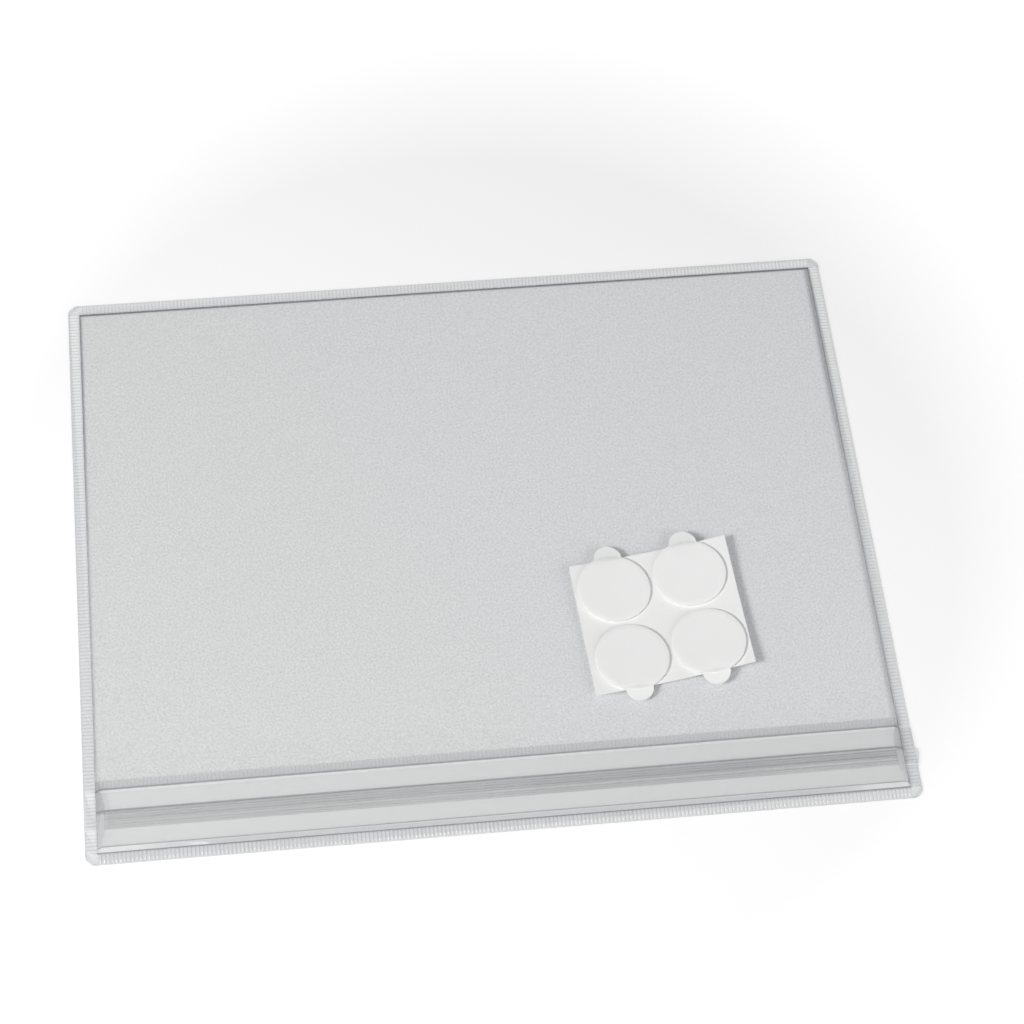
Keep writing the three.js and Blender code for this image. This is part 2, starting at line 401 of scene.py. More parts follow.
def weld_rows(inner_line, outer_line, groove, trim):
    """Rows across a weld, from its inner line outwards.

    Each row is a distance, a lift, a share of the groove's painted shade and the painted shade of a line:
    dark lines painted at the weld's inner side and outer edge.
    """
    width = sizes().weld_width
    ribs_end = width - trim
    return (
        (-0.35 * MM, 0.0, groove * 0.5, inner_line * 0.6),
        (0.0, 0.5, groove, inner_line),
        (0.35 * MM, 1.0, groove, inner_line * 0.5),
        (0.9 * MM, 1.0, groove, 0.0),
        (2.4 * MM, 1.0, groove, 0.0),
        (ribs_end - 0.3 * MM, 1.0, groove, 0.0),
        (ribs_end + 0.1 * MM, 0.5, groove * 0.4, outer_line * 0.7),
        (width - 0.3 * MM, 0.3, groove * 0.2, outer_line),
        (width - 0.05 * MM, 0.2, 0.0, outer_line),
        (width, 0.0, 0.0, outer_line * 0.6),
    )


def ribbed_strip(name, lines, rows, to_place, base, below, height):
    """A closed strip of weld: ribs along it with painted shade in their grooves, a painted dark line at its
    inner side and a plain trim outside with a painted dark line at its edge.
    """

    def place(column, row):
        along, level, dark = lines[column]
        out, lift, groove, line = rows[row]
        spot = to_place(along, out)
        return (spot[0], spot[1], base + height * lift * mix(0.2, 1.2, level))

    piece = grid_piece(name, len(lines) - 1, len(rows) - 1, place)
    # Painted shade: each groove's shade times the row's share, plus the row's painted line.
    store_painted_shade(piece, [min(1, dark * groove + line) for _, _, groove, line in rows for _, _, dark in lines])
    close_below(piece, below)
    piece.data.materials.append(welded_plastic() if name == "weld_bottom" else pressed_plastic())
    return piece


def corner_patch(name, side_x, side_y, base, below):
    """The plain square of weld at a rounded corner."""
    s = sizes()
    steps = 10
    inner = s.weld_width - s.corner_radius

    def rounded(a, b):
        x = a * s.weld_width
        y = b * s.weld_width
        if x <= inner or y <= inner:
            return x, y
        u = (x - inner) / s.corner_radius
        v = (y - inner) / s.corner_radius
        return (
            inner + s.corner_radius * u * math.sqrt(1 - v * v / 2),
            inner + s.corner_radius * v * math.sqrt(1 - u * u / 2),
        )

    def place(column, row):
        x, y = rounded(column / steps, row / steps)
        edge = max(column, row) / steps
        return (side_x * (weld_x() + x), side_y * (weld_top_y() + y), base + 0.12 * MM * (1 - edge**6))

    # Painted shade: a dark line along the corner's rounded outer edge.
    def painted_shade_at(co):
        out = max(abs(co.x) - weld_x(), abs(co.y) - weld_top_y()) / s.weld_width
        return 0.3 * smooth(0.8, 1.0, out)

    piece = grid_piece(name, steps, steps, place)
    set_painted_shade(piece, painted_shade_at)
    close_below(piece, below)
    piece.data.materials.append(welded_plastic())
    return piece


def swell(side, y, out):
    """How far melted plastic bulges past the right edge beside the rails."""
    s = sizes()
    if side < 0:
        return 0
    start = smooth(rail_top() + 0.3 * MM, rail_top() - 1.4 * MM, y)
    end = smooth(rail_top() - 11 * MM, rail_top() - 2 * MM, y)
    return s.swell * (start * end) * max(0, out / s.weld_width)


def side_place(side):
    """Where a point of a side weld lies, from its place along the weld and its distance out."""
    return lambda along, out: (side * (weld_x() + out) + swell(side, along, out), along)


# Film over the pocket


def film_wave(x, y):
    """Slow waves of soft film, in metres."""
    s = sizes()
    spot = Vector((x / WAVE_X + 3.1, y / WAVE_Y - 1.7, 0.4))
    return s.wave * noise.noise(spot) * 1.6


def film_level(x, y):
    """Underside of the front film: flat in the welds, loose between them and raised to the closure."""
    s = sizes()
    panel = PANEL_TOP - s.film + max(film_wave(x, y), -0.3 * MM)
    climb = smooth(LAP_TOP + s.slope, LAP_TOP, y)
    panel = mix(panel, FLANGE_TOP, climb)
    side = smooth(0, mix(s.bend, 1.8 * MM, climb), weld_x() - abs(x))
    top = smooth(0, s.bend, weld_top_y() - y)
    return mix(FILM_TOP, panel, side * top)


# Distances from a weld at which the film has lines, close together where it bends
BEND_STEPS = [0, 0.15 * MM, 0.4 * MM, 0.7 * MM, 1.0 * MM, 1.4 * MM, 2.0 * MM, 3.2 * MM]


def painted_fold_shade(x, y):
    """Painted shade of the film's fold inside the welds: darkest along the top, widest on the right, and
    darker towards the top along the sides.
    """
    upper = smooth(0.0, 90 * MM, y)
    top = 1 - smooth(0.7 * MM, 1.2 * MM, weld_top_y() - y)
    left = mix(0.3, 0.8, upper) * (1 - smooth(0.4 * MM, 0.9 * MM, x + weld_x()))
    right = mix(0.3, 0.55, upper) * (1 - smooth(1.4 * MM, 2.6 * MM, weld_x() - x))
    return max(top, left, right)


def film_panel():
    """The clear front sheet between the welds."""
    s = sizes()
    xs = graded(-weld_x(), weld_x(), BEND_STEPS, GRID_PITCH)
    ys = graded(LAP_TOP, weld_top_y(), BEND_STEPS, GRID_PITCH)
    panel = grid_piece(
        "film_panel",
        len(xs) - 1,
        len(ys) - 1,
        lambda column, row: (xs[column], ys[row], film_level(xs[column], ys[row]) + s.film),
    )
    set_painted_shade(panel, lambda co: painted_fold_shade(co.x, co.y))
    apply_modifier(panel, "SOLIDIFY", thickness=s.film, offset=-1)
    panel.data.materials.append(clear_film())
    return panel


def film_lap():
    """The welded band where the film laps onto the closure, with faint ribs, painted shade in their grooves
    and a painted dark line along its cut edge.
    """
    s = sizes()
    lines = rib_lines(-weld_x(), weld_x())
    # Rows across the band: distance in, share of the painted groove shade, and painted shade of the line,
    # darkest in the last rows along the cut edge
    rows = (
        (0.0, 0.0, 0.0),
        (0.3 * MM, 0.08, 0.12),
        (2.0 * MM, 0.08, 0.16),
        (3.3 * MM, 0.08, 0.2),
        (3.7 * MM, 0.05, 0.6),
        (4.2 * MM, 0.1, 0.8),
    )

    def place(column, row):
        along, level, dark = lines[column]
        under = film_level(along, LAP_TOP)
        return (along, LAP_TOP - rows[row][0], under + s.film - 0.03 * MM * (1 - level) + GAP)

    lap = grid_piece("film_lap", len(lines) - 1, len(rows) - 1, place)
    store_painted_shade(lap, [dark * groove + line for _, groove, line in rows for _, _, dark in lines])
    lap.data.flip_normals()
    apply_modifier(lap, "SOLIDIFY", thickness=s.film - 2 * GAP, offset=-1)
    lap.data.materials.append(welded_plastic())
    return lap


class POCKET_OT_front_film(bpy.types.Operator):
    """Front film with its ribbed welds"""

    bl_idname = "pocket.front_film"
    bl_label = "Front film"

    def execute(self, context):
        s = sizes()
        base = FILM_TOP + s.film
        below = FILM_TOP + GAP
        parts = [film_panel(), film_lap()]
        parts.append(
            ribbed_strip(
                "weld_top", rib_lines(-weld_x(), weld_x()), weld_rows(0.3, 0.2, 0.3, 0.8 * MM),
                lambda along, out: (along, weld_top_y() + out), base, below, s.rib_height,
            )
        )
        sides = ((-1, weld_rows(0.3, 0.4, 0.32, 0.5 * MM)), (1, weld_rows(0.5, 0.15, 0.3, 1.2 * MM)))
        for side, rows in sides:
            parts.append(
                ribbed_strip(
                    "weld_side", rib_lines(FILM_EDGE, weld_top_y()), rows,
                    side_place(side), base, below, s.rib_height,
                )
            )
            parts.append(corner_patch("weld_corner", side, 1, base, below))
        film = join(parts, "front_film_skin")
        smooth_shading(film)
        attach(film, "root")
        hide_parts("front_film")
        return {"FINISHED"}


# Closure


def wall_section(place):
    """A wall of the back half, with its head at the top, as (y, z) points."""
    s = sizes()
    foot = FILM_TOP + s.film - RAIL_ROOT
    top = FILM_TOP + s.film + s.rail_height
    head = top - 0.5 * MM
    half = [(s.rail_stem, foot), (s.rail_stem, head), (s.wall_head, head + 0.15 * MM), (s.head_tip, top)]
    right = [(place + w / 2, z) for w, z in half]
    left = [(place - w / 2, z) for w, z in reversed(half)]
    return right + left


def arrow_section(place):
    """An arrow rail of the front half, with its head at the bottom, as (y, z) points."""
    s = sizes()
    under = FLANGE_TOP - s.flange
    tip = under - s.rail_height
    half = [
        (s.head_tip, tip),
        (s.arrow_head, tip + 0.2 * MM),
        (s.rail_stem, tip + 0.35 * MM),
        (s.rail_stem, under + RAIL_ROOT),
    ]
    right = [(place + w / 2, z) for w, z in half]
    left = [(place - w / 2, z) for w, z in reversed(half)]
    return right + left


def rail_places(count):
    """Places across the rail zone of a row of count rails, from the top down."""
    centre = (rail_top() + rail_bottom()) / 2
    return [centre + ((count - 1) / 2 - i) * sizes().rail_spacing for i in range(count)]


# Painted shade of each rail seen through the plastic, from the top down
WALL_PAINTED_SHADES = (0.05, 0.4, 0.05, 0.2)
ARROW_PAINTED_SHADES = (0.4, 0.5, 0.3)


def rail_piece(name, section, depth):
    """One rail along the closure, with its edges rounded."""
    reach = weld_x() - RAIL_INSET
    piece = run_section(name, section, -reach, reach)
    apply_modifier(piece, "BEVEL", width=0.06 * MM, segments=2, limit_method="ANGLE")
    # Painted shade: half the rail's shade, faint at its left end and darkest at its right end.
    set_painted_shade(piece, lambda co: depth * 0.5 * mix(0.25, 1.15, smooth(-reach * 1.1, reach, co.x)))
    piece.data.materials.append(closure_plastic())
    return piece


class POCKET_OT_closure_back(bpy.types.Operator):
    """Back half of the closure, with its walls and the bottom weld"""

    bl_idname = "pocket.closure_back"
    bl_label = "Closure back half"

    def execute(self, context):
        s = sizes()
        base = FILM_TOP + s.film
        below = FILM_TOP + GAP
        xs = graded(-weld_x(), weld_x(), BEND_STEPS, GRID_PITCH)
        ys = graded(weld_bottom_y(), TROUGH_EDGE, [0, 0.2 * MM, 0.5 * MM, 1.0 * MM], 1.0 * MM)

        def level(x, y):
            ends = smooth(100 * MM, 156 * MM, abs(x)) * smooth(0, 1.2 * MM, weld_x() - abs(x))
            inwards = y - weld_bottom_y()
            ramp = smooth(-0.4 * MM, 2.4 * MM, inwards) - smooth(3 * MM, 7 * MM, inwards)
            return base + s.lip_rise * ends * ramp

        flange = grid_piece(
            "trough_flange", len(xs) - 1, len(ys) - 1,
            lambda column, row: (xs[column], ys[row], level(xs[column], ys[row])),
        )

        # Painted shade: a dark line along the weld's inner edge and a fainter band over the lip gap that
        # fades out towards the ends.
        def painted_shade_at(co):
            up = co.y - weld_bottom_y()
            line = 0.5 * (1 - smooth(0.1 * MM, 0.5 * MM, up))
            gap = 0.2 * (1 - smooth(2.0 * MM, 3.0 * MM, up)) * (1 - smooth(125 * MM, 150 * MM, abs(co.x)))
            return max(line, gap)

        set_painted_shade(flange, painted_shade_at)
        apply_modifier(flange, "SOLIDIFY", thickness=s.film - GAP, offset=-1)
        flange.data.materials.append(closure_plastic())
        parts = [flange]
        for place, depth in zip(rail_places(4), WALL_PAINTED_SHADES):
            parts.append(rail_piece("wall", wall_section(place), depth))
        parts.append(
            ribbed_strip(
                "weld_bottom", rib_lines(-weld_x(), weld_x()), weld_rows(0.45, 0.12, 0.5, 0.5 * MM),
                lambda along, out: (along, weld_bottom_y() - out), base, below, s.rib_height,
            )
        )
        sides = ((-1, weld_rows(0.3, 0.4, 0.3, 0.5 * MM)), (1, weld_rows(0.6, 0.3, 0.35, 1.2 * MM)))
        for side, rows in sides:
            parts.append(
                ribbed_strip(
                    "weld_side", rib_lines(weld_bottom_y(), rail_bottom() - 0.3 * MM), rows,
                    side_place(side), base, below, s.rib_height,
                )
            )
            parts.append(corner_patch("weld_corner", side, -1, base, below))
        half = join(parts, "closure_back_strip")
        smooth_shading(half)
        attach(half, "root")
        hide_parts("closure_back")
        return {"FINISHED"}


def flange_run(y):
    """Distance over which the front half's crushed end rises to full height: it slants towards the rails."""
    upper = mix(1.8 * MM, 3.8 * MM, smooth(LAP_TOP, rail_top(), y))
    return mix(2.2 * MM, upper, smooth(LIP_EDGE + 1.0 * MM, rail_bottom(), y))


# Distances from the closure's ends at which its front half has lines
END_STEPS = [
    0, 0.2 * MM, 0.5 * MM, 0.9 * MM, 1.3 * MM, 1.7 * MM, 2.1 * MM, 2.5 * MM, 2.9 * MM, 3.3 * MM, 3.7 * MM,
    4.1 * MM,
]


class POCKET_OT_closure_front(bpy.types.Operator):
    """Front half of the closure, with its arrows, free lip and crushed ends"""

    bl_idname = "pocket.closure_front"
    bl_label = "Closure front half"

    def execute(self, context):
        s = sizes()
        xs = graded(-weld_x(), weld_x(), END_STEPS, GRID_PITCH)
        ys = graded(LIP_EDGE, LAP_TOP, [0, 0.15 * MM, 0.45 * MM, 0.8 * MM], 0.4 * MM)
        crushed = FILM_TOP + 2 * s.film

        def level(x, y):
            wave = 0.05 * MM * noise.noise(Vector((x / 0.06, y / 0.03, 2)))
            return mix(crushed, FLANGE_TOP + wave - 0.05 * MM, smooth(0, flange_run(y), weld_x() - abs(x)))

        # Painted shade: a dark wedge on each crushed end, weaker below the rails' top, standing in for the
        # dark that the tilted plastic mirrors; a dark line along the free lip and one along the rails' top.
        def painted_shade_at(co):
            near = weld_x() - abs(co.x)
            wedge = 0.3 * (1 - smooth(flange_run(co.y) - 0.5 * MM, flange_run(co.y), near))
            wedge *= 1 - 0.6 * smooth(0.5 * MM, 2.0 * MM, rail_top() - co.y)
            lip = 0.7 * (1 - smooth(0.2 * MM, 0.5 * MM, co.y - LIP_EDGE))
            line = 0.75 * (1 - smooth(0.15 * MM, 0.4 * MM, abs(co.y - rail_top())))
            return max(wedge, lip, line)

        flange = grid_piece(
            "lip_flange", len(xs) - 1, len(ys) - 1,
            lambda column, row: (xs[column], ys[row], level(xs[column], ys[row])),
        )
        set_painted_shade(flange, painted_shade_at)
        apply_modifier(flange, "SOLIDIFY", thickness=s.flange, offset=-1)
        flange.data.materials.append(closure_plastic())
        parts = [flange]
        for place, depth in zip(rail_places(3), ARROW_PAINTED_SHADES):
            parts.append(rail_piece("arrow", arrow_section(place), depth))
        sides = ((-1, weld_rows(0.4, 0.4, 0.3, 0.5 * MM)), (1, weld_rows(0.8, 0.4, 0.4, 1.2 * MM)))
        for side, rows in sides:
            parts.append(
                ribbed_strip(
                    "weld_side", rib_lines(rail_bottom(), FILM_EDGE - 0.3 * MM), rows,
                    side_place(side), crushed, FILM_TOP + s.film + GAP, s.rib_height,
                )
            )
        half = join(parts, "closure_front_strip")
        smooth_shading(half)
        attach(half, "root")
        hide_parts("closure_front")
        return {"FINISHED"}


class POCKET_OT_back_film(bpy.types.Operator):
    """Back film, which keeps its frame shape"""

    bl_idname = "pocket.back_film"
    bl_label = "Back film"

    def execute(self, context):
        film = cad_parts["back_film"]
        film.data.materials.clear()
        film.data.materials.append(welded_plastic())
        return {"FINISHED"}


# Sheet of pads


def shifted(box):
    """Centre of a box in the sheet, with the sheet's slip."""
    slip = pad_sizes().shift
    return (box[0] + box[1]) / 2 + Vector((slip[0], slip[1], 0))


def pad_centre(index):
    return shifted(foam_boxes[index])


def sheet_centre():
    return sum((pad_centre(i) for i in range(4)), Vector()) / 4


def sheet_lift(x, y):
    """Height that the curled liner stands off the film at a point."""
    p = pad_sizes()
    spot = Matrix.Rotation(-p.turn, 2) @ Vector((x - sheet_centre().x, y - sheet_centre().y))
    u = spot.x / (p.liner_width / 2)
    v = spot.y / (p.liner_height / 2)
    return p.curl * (0.5 * u * u + 0.25 * v * v + 0.15 * u - 0.1 * u * v)


class POCKET_OT_release_liner(bpy.types.Operator):
    """Release liner, with its edges curled a little off the film"""

    bl_idname = "pocket.release_liner"
    bl_label = "Release liner"

    def execute(self, context):
        p = pad_sizes()
        centre = shifted((liner_low, liner_high)).to_2d()
        turn = Matrix.Rotation(p.turn, 2)
        steps = 44

        def place(column, row):
            u = column / steps - 0.5
            v = row / steps - 0.5
            across = u * p.liner_width + v * p.liner_height * math.tan(p.liner_lean)
            spot = centre + turn @ Vector((across, v * p.liner_height))
            return (spot.x, spot.y, PANEL_TOP + sheet_lift(spot.x, spot.y) + (liner_high.z - liner_low.z))

        liner = grid_piece("release_liner_sheet", steps, steps, place)
        apply_modifier(liner, "SOLIDIFY", thickness=liner_high.z - liner_low.z, offset=-1)
        liner.data.materials.append(smooth_paper("backing_paper"))
        smooth_shading(liner)
        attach(liner, "root")
        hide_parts("release_liner")
        return {"FINISHED"}


class POCKET_OT_foam_pads(bpy.types.Operator):
    """Four round foam adhesive pads"""

    bl_idname = "pocket.foam_pads"
    bl_label = "Foam pads"

    def execute(self, context):
        for index, (low, high) in enumerate(foam_boxes):
            bpy.ops.object.select_all(action="DESELECT")
            thickness = high.z - low.z
            bpy.ops.mesh.primitive_cylinder_add(
                vertices=96, radius=(high.x - low.x) / 2, depth=thickness, location=(0, 0, 0),
                end_fill_type="NGON",
            )
            pad = bpy.context.object
            pad.name = f"foam_disc_{index + 1}"
            bpy.ops.object.mode_set(mode="EDIT")
            bpy.ops.mesh.select_all(action="SELECT")
            bpy.ops.mesh.bevel(offset=0.3 * MM, segments=3, affect="EDGES")
            bpy.ops.mesh.select_all(action="DESELECT")
            bpy.ops.object.mode_set(mode="OBJECT")
            for face in pad.data.polygons:
                face.select = abs(face.normal.z) > 0.99
            bpy.ops.object.mode_set(mode="EDIT")
            # Rings on the flat faces let them bend with the liner
            for ring in (2 * MM, 4 * MM, 4 * MM):
                bpy.ops.mesh.inset(thickness=ring)
            bpy.ops.object.mode_set(mode="OBJECT")
            centre = pad_centre(index)
            for vertex in pad.data.vertices:
                spot = centre + vertex.co
                vertex.co = (spot.x, spot.y, spot.z + sheet_lift(spot.x, spot.y))
            pad.data.update()
            pad.data.materials.append(closed_foam())
            smooth_shading(pad)
            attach(pad, "root")
            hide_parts(f"foam_pad_{index + 1}")
        return {"FINISHED"}


class POCKET_OT_pad_covers(bpy.types.Operator):
    """The pads' cover papers, each with a finger tab"""

    bl_idname = "pocket.pad_covers"
    bl_label = "Pad covers"

    def rim(self, angle, radius):
        """Distance from the pad's centre to the cover's outline, which has a round-ended tab along +Y."""
        p = pad_sizes()
        tab = p.tab_width / 2
        across = abs(math.cos(angle))
        up = math.sin(angle)
        if up <= 0 or across * radius > tab:
            return radius
        reach = p.tab_reach - tab
        if across > 0 and tab / across * up < reach:
            return tab / across
        return reach * up + math.sqrt(tab * tab - (reach * across) ** 2)

    def execute(self, context):
        p = pad_sizes()
        around = 144
        rings = (0.0, 0.3, 0.55, 0.7, 0.8, 0.87, 0.92, 0.96, 0.985, 1.0)
        for index, (low, high) in enumerate(cover_boxes):
            foam_low, foam_high = foam_boxes[index]
            radius = (foam_high.x - foam_low.x) / 2
            centre = pad_centre(index)
            lower = centre.y < sheet_centre().y
            turn = Matrix.Rotation(p.turn - p.tab_turn + (math.pi if lower else 0), 2)
            thickness = high.z - low.z

            def place(column, row):
                angle = 2 * math.pi * column / around
                out = rings[row] * self.rim(angle, radius)
                x = out * math.cos(angle)
                y = out * math.sin(angle)
                on_tab = smooth(p.tab_width * 0.62, p.tab_width * 0.42, abs(x)) if y > 0 else 0
                tip = smooth(radius * 0.72, p.tab_reach * 1.05, y) * on_tab
                edge = smooth(radius - 1.3 * MM, radius, min(out, radius)) * (1 - on_tab)
                flat = turn @ Vector((x, y))
                x = centre.x + flat.x
                y = centre.y + flat.y
                return (x, y, low.z + thickness + sheet_lift(x, y) - p.tab_droop * tip - p.rim_drop * edge)

            cover = grid_piece(f"cover_paper_{index + 1}", around, len(rings) - 1, place)
            bpy.ops.object.mode_set(mode="EDIT")
            bpy.ops.mesh.select_all(action="SELECT")
            bpy.ops.mesh.remove_doubles(threshold=0.001 * MM)
            bpy.ops.mesh.normals_make_consistent(inside=False)
            bpy.ops.object.mode_set(mode="OBJECT")
            if cover.data.polygons[0].normal.z < 0:
                cover.data.flip_normals()
            apply_modifier(cover, "SOLIDIFY", thickness=thickness, offset=-1)
            cover.data.materials.append(smooth_paper("tab_paper"))
            smooth_shading(cover)
            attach(cover, "root")
            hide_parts(f"pad_cover_{index + 1}")
        return {"FINISHED"}


# Materials


class Nodes:
    """Short calls for making and linking a material's nodes."""

    def __init__(self, name):
        self.material = bpy.data.materials.new(name)
        self.material.use_nodes = True
        self.tree = self.material.node_tree
        self.tree.nodes.clear()

    def add(self, kind, **inputs):
        node = self.tree.nodes.new(kind)
        for key, value in inputs.items():
            numbered = key[0] == "_" and key[1:].isdigit()
            socket = node.inputs[int(key[1:]) if numbered else key.replace("_", " ")]
            if isinstance(value, bpy.types.NodeSocket):
                self.tree.links.new(value, socket)
            else:
                socket.default_value = value
        return node

    def math(self, operation, a, b=0.0):
        node = self.add("ShaderNodeMath", _0=a, _1=b)
        node.operation = operation
        return node.outputs[0]

    def blend(self, kind, factor, a, b):
        node = self.add("ShaderNodeMix")
        node.data_type = "RGBA"
        node.blend_type = kind
        # A colour mix has its factor at 0 and its two colours at 6 and 7
        for socket, value in zip((node.inputs[0], node.inputs[6], node.inputs[7]), (factor, a, b)):
            if isinstance(value, bpy.types.NodeSocket):
                self.tree.links.new(value, socket)
            else:
                socket.default_value = value
        return node.outputs[2]

    def finish(self, shader):
        output = self.add("ShaderNodeOutputMaterial", Surface=shader)
        output.location = (600, 0)
        return self.material


def rgba(value):
    return (value[0], value[1], value[2], 1.0)


def see_through(name, left, right, haze_share, grain, roughness, detail, shine=0.05):
    """Clear soft plastic: tinted, a little hazy, with a fine grain; painted shade darkens it at folds,
    grooves, edges and rails, and a painted shading gradient runs between the left and right tints.
    """
    known = bpy.data.materials.get(name)
    if known:
        return known
    n = Nodes(name)
    place = n.add("ShaderNodeTexCoord").outputs["Object"]
    # The attribute read here holds painted shade, though it is called depth.
    depth = n.add("ShaderNodeAttribute")
    depth.attribute_name = "depth"
    fine = n.add("ShaderNodeTexNoise", Vector=place, Scale=1200.0, Detail=detail, Roughness=0.6)
    split = n.add("ShaderNodeSeparateXYZ", Vector=place)
    # Painted shade: the tint changes from left to right, and half as fast away from the closure, darker
    # towards the lower left
    across = n.math("MULTIPLY", split.outputs[0], 2.4)
    along = n.math("MULTIPLY", split.outputs[1], 1.2)
    tint = n.blend("MIX", n.math("ADD", n.math("ADD", across, along), 0.5), rgba(left), rgba(right))
    speckle = n.math("ADD", n.math("MULTIPLY", n.math("SUBTRACT", fine.outputs["Fac"], 0.5), grain), 1.0)
    tint = n.blend("MULTIPLY", 1.0, tint, speckle)
    # Painted shade: the fold tint is mixed in as far as the stored painted shade goes.
    tint = n.blend("MIX", depth.outputs["Fac"], tint, rgba(colours().fold))
    clear = n.add("ShaderNodeBsdfTransparent", Color=tint)
    front = n.math("SUBTRACT", 1.0, n.add("ShaderNodeNewGeometry").outputs["Backfacing"])
    body = n.add("ShaderNodeBsdfPrincipled", Base_Color=rgba(colours().haze), Roughness=0.35)
    share = n.math("ADD", n.math("MULTIPLY", depth.outputs["Fac"], FOLD_HAZE), haze_share)
    share = n.math("MULTIPLY", share, front)
    film = n.add("ShaderNodeMixShader", _0=share, _1=clear.outputs[0], _2=body.outputs[0])
    rough = n.math("ADD", n.math("MULTIPLY", fine.outputs["Fac"], roughness), roughness * 0.5)
    gloss = n.add("ShaderNodeBsdfGlossy", Color=(1, 1, 1, 1), Roughness=rough)
    facing = n.add("ShaderNodeLayerWeight", Blend=0.5).outputs["Facing"]
    grazing = n.math("MULTIPLY", n.math("POWER", facing, GRAZING_POWER), GRAZING_SHARE)
    mirror = n.math("MULTIPLY", n.math("ADD", grazing, shine), front)
    top = n.add("ShaderNodeMixShader", _0=mirror, _1=film.outputs[0], _2=gloss.outputs[0])
    return n.finish(top.outputs[0])


def clear_film():
    """The grained front sheet."""
    c = colours()
    return see_through(
        "grained_film", c.film_tint_and_shade_left, c.film_tint_and_shade_right, haze_share=0.03, grain=0.22, roughness=0.16, detail=2.0
    )


def welded_plastic():
    """The smooth back sheet, the bottom weld and the band where the film laps onto the closure."""
    c = colours()
    return see_through(
        "welded_plastic", c.clear, c.clear, haze_share=0.006, grain=0.02, roughness=0.10, detail=0.0
    )


def pressed_plastic():
    """Film that the ribbed welds at the top and sides have pressed clear."""
    c = colours()
    return see_through(
        "pressed_plastic", c.pressed, c.pressed, haze_share=0.0, grain=0.02, roughness=0.10, detail=0.0,
        shine=0.02,
    )


def closure_plastic():
    """The clear closure strip."""
    c = colours()
    return see_through(
        "closure_plastic", c.clear, c.clear, haze_share=0.008, grain=0.01, roughness=0.06, detail=0.0
    )


def smooth_paper(name):
    """White calendered paper, with a faint fibre in colour and surface."""
    known = bpy.data.materials.get(name)
    if known:
        return known
    n = Nodes(name)
    place = n.add("ShaderNodeTexCoord").outputs["Object"]
    fibre = n.add("ShaderNodeTexNoise", Vector=place, Scale=1500.0, Detail=4.0, Roughness=0.65)
    cloud = n.add("ShaderNodeTexNoise", Vector=place, Scale=90.0, Detail=2.0, Roughness=0.5)
    paper = Vector(colours().paper)
    tone = n.blend("MIX", cloud.outputs["Fac"], rgba(paper * 0.985), rgba(paper * 1.015))
    rough = n.add("ShaderNodeMapRange", _0=fibre.outputs["Fac"], _1=0.3, _2=0.7, _3=0.45, _4=0.6)
    bump = n.add("ShaderNodeBump", Height=fibre.outputs["Fac"], Strength=0.25, Distance=0.00003)
    body = n.add(
        "ShaderNodeBsdfPrincipled", Base_Color=tone, Roughness=rough.outputs[0], Normal=bump.outputs[0]
    )
    return n.finish(body.outputs[0])


def closed_foam():
    """White closed-cell foam, seen at the pads' rims."""
    known = bpy.data.materials.get("closed_foam")
    if known:
        return known
    n = Nodes("closed_foam")
    place = n.add("ShaderNodeTexCoord").outputs["Object"]
    cells = n.add("ShaderNodeTexVoronoi", Vector=place, Scale=4200.0)
    foam = Vector(colours().foam)
    tone = n.blend("MIX", cells.outputs["Distance"], rgba(foam * 0.94), rgba(foam * 1.02))
    bump = n.add("ShaderNodeBump", Height=cells.outputs["Distance"], Strength=0.5, Distance=0.0001)
    body = n.add("ShaderNodeBsdfPrincipled", Base_Color=tone, Roughness=0.85, Normal=bump.outputs[0])
    return n.finish(body.outputs[0])


def floor_paint():
    """Plain pale floor. What the eye gets is lifted to white, and the shadows stay."""
    n = Nodes("floor_paint")
    body = n.add("ShaderNodeBsdfDiffuse", Color=rgba(colours().floor))
    path = n.add("ShaderNodeLightPath")
    seen = n.math("MAXIMUM", path.outputs["Is Camera Ray"], path.outputs["Is Glossy Ray"])
    seen = n.math("MAXIMUM", seen, path.outputs["Is Transmission Ray"])
    place = n.add("ShaderNodeTexCoord").outputs["Object"]
    away = n.add("ShaderNodeVectorMath", _0=place)
    away.operation = "LENGTH"
    far = n.add("ShaderNodeMapRange", _0=away.outputs["Value"], _1=0.2, _2=0.36, _3=0.0, _4=studio().far_glow)
    level = n.math("ADD", far.outputs[0], studio().floor_glow)
    glow = n.add("ShaderNodeEmission", Color=(1, 1, 1, 1), Strength=n.math("MULTIPLY", seen, level))
    both = n.add("ShaderNodeAddShader", _0=body.outputs[0], _1=glow.outputs[0])
    return n.finish(both.outputs[0])


# Each lamp's place and the length of its side, in metres
LAMPS = {
    "key_light": ((-1.17, -0.60, 1.02), 0.45),
    "fill_light": ((1.05, -0.83, 0.63), 1.05),
    "top_light": ((0, 0.1, 1.2), 0.3),
}


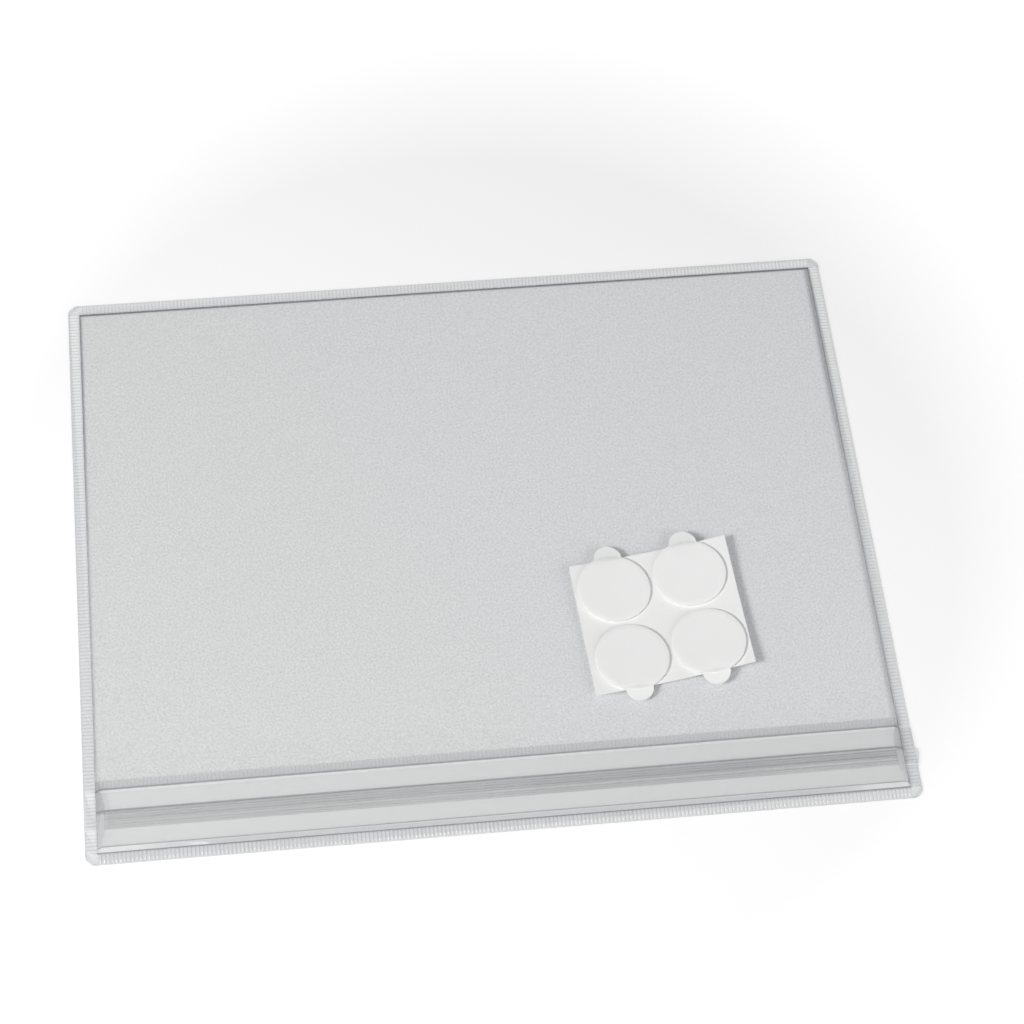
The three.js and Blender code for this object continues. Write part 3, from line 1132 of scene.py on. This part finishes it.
class POCKET_OT_studio(bpy.types.Operator):
    """Floor, soft lights and camera"""

    bl_idname = "pocket.studio"
    bl_label = "Studio"

    def lamp(self, name, place, size, watts):
        bpy.ops.object.light_add(type="AREA", location=place)
        lamp = bpy.context.object
        lamp.name = name
        lamp.data.shape = "SQUARE"
        lamp.data.size = size
        lamp.data.energy = watts
        lamp.rotation_euler = (-Vector(place)).to_track_quat("-Z", "Y").to_euler()

    def room(self, level):
        """Even light from all round, with white where the camera sees past the floor."""
        world = bpy.data.worlds.new("room")
        world.use_nodes = True
        nodes = world.node_tree.nodes
        links = world.node_tree.links
        light = nodes["Background"]
        backdrop = nodes.new("ShaderNodeBackground")
        for shader, value in ((light, level), (backdrop, 1.0)):
            shader.inputs["Color"].default_value = (1, 1, 1, 1)
            shader.inputs["Strength"].default_value = value
        seen = nodes.new("ShaderNodeLightPath")
        choice = nodes.new("ShaderNodeMixShader")
        links.new(seen.outputs["Is Camera Ray"], choice.inputs[0])
        links.new(light.outputs[0], choice.inputs[1])
        links.new(backdrop.outputs[0], choice.inputs[2])
        links.new(choice.outputs[0], nodes["World Output"].inputs["Surface"])
        return world

    def execute(self, context):
        st = studio()
        bpy.ops.object.select_all(action="DESELECT")
        bpy.ops.mesh.primitive_plane_add(size=8, location=(0, 0, -FLOOR_DROP))
        floor = bpy.context.object
        floor.name = "floor"
        floor.data.materials.append(floor_paint())
        for name, watts in (("key_light", st.key), ("fill_light", st.fill), ("top_light", st.top)):
            place, size = LAMPS[name]
            self.lamp(name, place, size, watts)
        context.scene.world = self.room(st.world)
        away = Vector((
            -math.sin(st.azimuth) * math.cos(st.elevation),
            -math.cos(st.azimuth) * math.cos(st.elevation),
            math.sin(st.elevation),
        ))
        bpy.ops.object.camera_add(location=Vector(st.target) + away * st.distance)
        camera = bpy.context.object
        camera.name = "camera"
        look = (-away).to_track_quat("-Z", "Y").to_matrix()
        camera.rotation_euler = (look @ Matrix.Rotation(-st.roll, 3, "Z")).to_euler()
        camera.data.lens = st.lens
        camera.data.sensor_width = 36
        camera.data.clip_end = 20
        context.scene.camera = camera
        context.scene.view_settings.view_transform = "Standard"
        context.scene.cycles.transparent_max_bounces = 40
        return {"FINISHED"}


OPERATORS = (
    POCKET_OT_back_film,
    POCKET_OT_front_film,
    POCKET_OT_closure_back,
    POCKET_OT_closure_front,
    POCKET_OT_release_liner,
    POCKET_OT_foam_pads,
    POCKET_OT_pad_covers,
    POCKET_OT_studio,
)


class POCKET_PT_panel(bpy.types.Panel):
    """The pocket's pieces, in the order in which they are made"""

    bl_label = "Document pocket"
    bl_idname = "POCKET_PT_panel"
    bl_space_type = "VIEW_3D"
    bl_region_type = "UI"
    bl_category = "Pocket"

    def draw(self, context):
        for group in ("pocket_sizes", "pad_sizes", "pocket_colours", "pocket_studio"):
            settings = getattr(context.scene, group)
            box = self.layout.box()
            for name in settings.bl_rna.properties.keys():
                if name not in ("rna_type", "name"):
                    box.prop(settings, name)
        for operator in OPERATORS:
            self.layout.operator(operator.bl_idname)


GROUPS = {
    "pocket_sizes": PocketSizes,
    "pad_sizes": PadSizes,
    "pocket_colours": PocketColours,
    "pocket_studio": StudioSettings,
}


def register():
    for group in GROUPS.values():
        bpy.utils.register_class(group)
    for name, group in GROUPS.items():
        setattr(bpy.types.Scene, name, PointerProperty(type=group))
    for operator in OPERATORS:
        bpy.utils.register_class(operator)
    bpy.utils.register_class(POCKET_PT_panel)


def unregister():
    bpy.utils.unregister_class(POCKET_PT_panel)
    for operator in reversed(OPERATORS):
        bpy.utils.unregister_class(operator)
    for name, group in GROUPS.items():
        delattr(bpy.types.Scene, name)
        bpy.utils.unregister_class(group)


def main():
    register()
    bpy.ops.pocket.back_film()
    bpy.ops.pocket.front_film()
    bpy.ops.pocket.closure_back()
    bpy.ops.pocket.closure_front()
    bpy.ops.pocket.release_liner()
    bpy.ops.pocket.foam_pads()
    bpy.ops.pocket.pad_covers()
    bpy.ops.pocket.studio()


if __name__ == "__main__":
    main()
